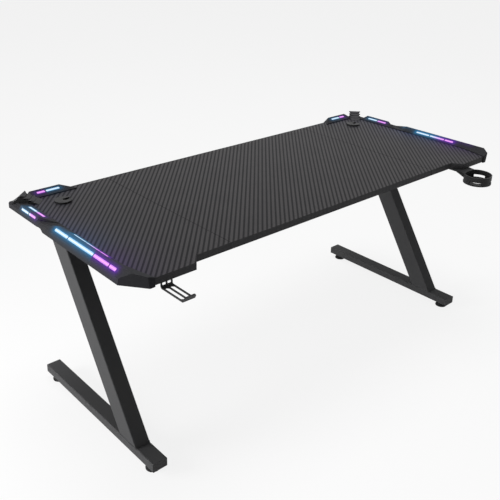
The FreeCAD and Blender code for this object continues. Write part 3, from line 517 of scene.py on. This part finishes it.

# Light bars: milky polycarbonate diffusers clipped into the trims from inside.
# They glow almost white along the middle and in the strip's own colour at the rim. Their light is
# painted onto the worktop as emission near the bars, stronger on its pale bands as a painted reflection.
core_blue = (1.10, 0.95, 0.70, 1)
core_violet = (0.95, 0.42, 0.60, 1)
rim_blue = (0.02, 0.42, 0.85, 1)
rim_violet = (0.46, 0.012, 0.85, 1)
painted_spill_blue = (0.001, 0.008, 0.036, 1)
painted_spill_violet = (0.010, 0.001, 0.036, 1)
milk_dark = (0.13, 0.13, 0.15, 1)
milk_pale = (0.18, 0.18, 0.20, 1)
diffuser, tree, shader = new_finish("light_diffuser")
place = object_place(tree)
speckle = noise(tree, place, scale=700.0)
core = rows_light(tree, place, half_width=0.0, reach=0.0024, first=core_blue, last=core_violet)
rim = rows_light(tree, place, half_width=0.0038, reach=0.0036, first=rim_blue, last=rim_violet)
wire_up(tree, shader, Base_Color=blended(tree, speckle, milk_dark, milk_pale),
        Roughness=stepped(tree, speckle, rise=(0.2, 0.8), amounts=(0.22, 0.34)),
        Emission_Color=vectors(tree, "ADD", core, rim)[0])
shader.inputs["Emission Strength"].default_value = 1.0
for side in ("left", "right"):
    wear(diffuser, f"lenses_front_{side}", f"lenses_rear_{side}")
# Painted light and painted reflection: emission on the worktop's top faces near the light bars, stronger
# on the pale bands.
tree = laminate.node_tree
shader = tree.nodes["Principled BSDF"]
painted_spill = rows_light(tree, object_place(tree), half_width=0.012, reach=0.050, first=painted_spill_blue,
                   last=painted_spill_violet, rear_share=0.25)
painted_spill_on_bands = stepped(tree, band, amounts=(0.6, 1.3))
painted_spill_share = maths(tree, "MULTIPLY", stepped(tree, upward(tree), rise=top_faces), painted_spill_on_bands)
wire_up(tree, shader, Emission_Color=scaled(tree, painted_spill, painted_spill_share))
shader.inputs["Emission Strength"].default_value = 1.0

# Light strips: white flexible circuit with a row of light chips.
# They are stuck to the board inside each trim, under the diffusers.
chip_foot = (0.7513, 0.7515)
chip_colour = (0.85, 0.74, 0.25, 1)
circuit_dark = (0.70, 0.70, 0.68, 1)
circuit_pale = (0.80, 0.80, 0.78, 1)
strip_finish, tree, shader = new_finish("light_strip")
place = object_place(tree)
on_chip = stepped(tree, axes_of(tree, place)["Z"], rise=chip_foot)
print_grain = noise(tree, place, scale=500.0)
circuit = blended(tree, print_grain, circuit_dark, circuit_pale)
wire_up(tree, shader, Base_Color=blended(tree, on_chip, circuit, chip_colour),
        Roughness=stepped(tree, print_grain, rise=(0.2, 0.8), amounts=(0.45, 0.6)))
for side in ("left", "right"):
    wear(strip_finish, f"light_strip_front_{side}", f"light_strip_rear_{side}")

# Cable grommets: a satin black sleeve pressed into the board, with a cap that turns in it.
# The cap's face carries faint concentric marks from its mould.
mark_spacing = 0.0011
grommet_dark = (0.016, 0.016, 0.017, 1)
grommet_pale = (0.026, 0.026, 0.027, 1)
grommet_plastic, tree, shader = new_finish("grommet_plastic")
place = object_place(tree)
x, y, z = axes_of(tree, place)
sleeve_low, sleeve_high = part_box("grommet_sleeve_right")
across = maths(tree, "SUBTRACT", maths(tree, "ABSOLUTE", x), (sleeve_low.x + sleeve_high.x) / 2)
ahead = maths(tree, "SUBTRACT", y, (sleeve_low.y + sleeve_high.y) / 2)
squares = maths(tree, "ADD", maths(tree, "POWER", across, 2.0), maths(tree, "POWER", ahead, 2.0))
from_centre = maths(tree, "SQRT", squares)
marks = maths(tree, "SINE", maths(tree, "MULTIPLY", from_centre, 2 * math.pi / mark_spacing))
tone = noise(tree, place, scale=60.0)
wire_up(tree, shader, Base_Color=blended(tree, tone, grommet_dark, grommet_pale),
        Roughness=stepped(tree, tone, rise=(0.3, 0.7), amounts=(0.36, 0.46)),
        Normal=bumped(tree, marks, strength=0.06, height=0.0002))
for side in ("left", "right"):
    wear(grommet_plastic, f"grommet_sleeve_{side}", f"grommet_cap_{side}")

# Headphone hook, cup holder and power inlet: satin black nylon mouldings.
# Each is screwed to the underside of the top with small button-head screws.
hook_plate = 0.004
hook_screw_across = 0.011
hook_screw_back = 0.009
cup_plate = 0.006
cup_screw_across = 0.024
cup_screws_back = (0.018, 0.046)
inlet_plate = 0.0025
inlet_screw_inset = 0.0047
nylon_dark = (0.022, 0.022, 0.023, 1)
nylon_pale = (0.033, 0.033, 0.034, 1)
satin_black, tree, shader = new_finish("satin_black_nylon")
place = object_place(tree)
pores = noise(tree, place, scale=1100.0)
tone = noise(tree, place, scale=25.0)
wire_up(tree, shader, Base_Color=blended(tree, tone, nylon_dark, nylon_pale),
        Roughness=stepped(tree, tone, rise=(0.3, 0.7), amounts=(0.38, 0.5)),
        Normal=bumped(tree, pores, strength=0.12, height=0.0002, edge_radius=0.0006))
wear(satin_black, "headphone_hook", "cup_holder", "power_inlet")
fitting_screws = []
hook_low, hook_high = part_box("headphone_hook")
hook_middle = (hook_low.x + hook_high.x) / 2
for across in (-hook_screw_across, hook_screw_across):
    position = Vector((hook_middle + across, hook_high.y - hook_screw_back, underside - hook_plate))
    fitting_screws.append(position)
cup_low, cup_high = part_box("cup_holder")
cup_middle = (cup_low.x + cup_high.x) / 2
for across in (-cup_screw_across, cup_screw_across):
    for back in cup_screws_back:
        fitting_screws.append(Vector((cup_middle + across, cup_high.y - back, underside - cup_plate)))
inlet_low, inlet_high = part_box("power_inlet")
inlet_middle = (inlet_low.y + inlet_high.y) / 2
for end in (inlet_low.x + inlet_screw_inset, inlet_high.x - inlet_screw_inset):
    fitting_screws.append(Vector((end, inlet_middle, underside - inlet_plate)))
screws_up("fitting_screws", fitting_screws)

# Stage: a wide white floor that keeps a soft shadow, a low soft light on the left and a large one
# overhead. The surroundings are white to the eye and give a dim even fill.
# The camera stands at the front left, above the height of the worktop.
floor_reach = 30.0
floor_colour = (0.9, 0.9, 0.9, 1)
floor_white_share = 0.85
fill_strength = 0.22
plain_white = (1, 1, 1, 1)
camera_place = (-1.85885, -1.83335, 1.73015)
camera_yaw = math.radians(42.326)
camera_pitch = math.radians(22.039)
camera_roll = math.radians(1.367)
floor_mesh = bpy.data.meshes.new("floor")
corners = [(-floor_reach, -floor_reach, 0), (floor_reach, -floor_reach, 0),
           (floor_reach, floor_reach, 0), (-floor_reach, floor_reach, 0)]
floor_mesh.from_pydata(corners, [], [(0, 1, 2, 3)])
floor = bpy.data.objects.new("floor", floor_mesh)
bpy.context.scene.collection.objects.link(floor)
floor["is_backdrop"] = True


def seen_directly(tree, unseen, seen):
    path = node(tree, "ShaderNodeLightPath").outputs
    direct = maths(tree, "MAXIMUM", path["Is Camera Ray"], path["Is Glossy Ray"])
    direct = maths(tree, "MAXIMUM", direct, path["Is Transmission Ray"])
    return stepped(tree, direct, amounts=(unseen, seen))


paper = bpy.data.materials.new("white_paper")
paper.use_nodes = True
tree = paper.node_tree
tree.nodes.remove(tree.nodes["Principled BSDF"])
lit = node(tree, "ShaderNodeBsdfDiffuse", {"Color": floor_colour}).outputs[0]
white = node(tree, "ShaderNodeEmission", {"Color": plain_white, "Strength": 1.0}).outputs[0]
whiteness = seen_directly(tree, unseen=0.0, seen=floor_white_share)
surface = node(tree, "ShaderNodeMixShader", {0: whiteness, 1: lit, 2: white}).outputs[0]
tree.links.new(surface, tree.nodes["Material Output"].inputs["Surface"])
floor_mesh.materials.append(paper)

world = bpy.data.worlds.new("studio")
bpy.context.scene.world = world
world.use_nodes = True
tree = world.node_tree
surroundings = tree.nodes["Background"].inputs
tree.links.new(seen_directly(tree, unseen=fill_strength, seen=1.0), surroundings["Strength"])
surroundings["Color"].default_value = plain_white


def soft_light(name, position, target, size, power, spread):
    lamp = bpy.data.lights.new(name, "AREA")
    lamp.shape = "RECTANGLE"
    lamp.size, lamp.size_y = size
    lamp.energy = power
    lamp.spread = math.radians(spread)
    holder = bpy.data.objects.new(name, lamp)
    bpy.context.scene.collection.objects.link(holder)
    holder.location = position
    holder.rotation_mode = "QUATERNION"
    holder.rotation_quaternion = (Vector(target) - Vector(position)).to_track_quat("-Z", "Y")


soft_light("left_light", position=(-3.1, 1.3, 1.0), target=(-1.0, 0.0, 0.4), size=(1.6, 1.4),
           power=20.5, spread=76)
soft_light("top_light", position=(0.3, 0.9, 6.0), target=(0, 0, 0.75), size=(3.6, 3.0),
           power=190, spread=180)

camera = bpy.data.cameras.new("camera")
camera.sensor_width = 36.0
camera.lens = 52.19
camera.shift_y = -0.1077
view = bpy.data.objects.new("camera", camera)
bpy.context.scene.collection.objects.link(view)
turn = Matrix.Rotation(-camera_yaw, 4, "Z")
turn = turn @ Matrix.Rotation(math.pi / 2 - camera_pitch, 4, "X")
turn = turn @ Matrix.Rotation(camera_roll, 4, "Z")
view.matrix_world = Matrix.Translation(camera_place) @ turn
bpy.context.scene.camera = view
bpy.context.scene.view_settings.view_transform = "Standard"

low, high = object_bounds()
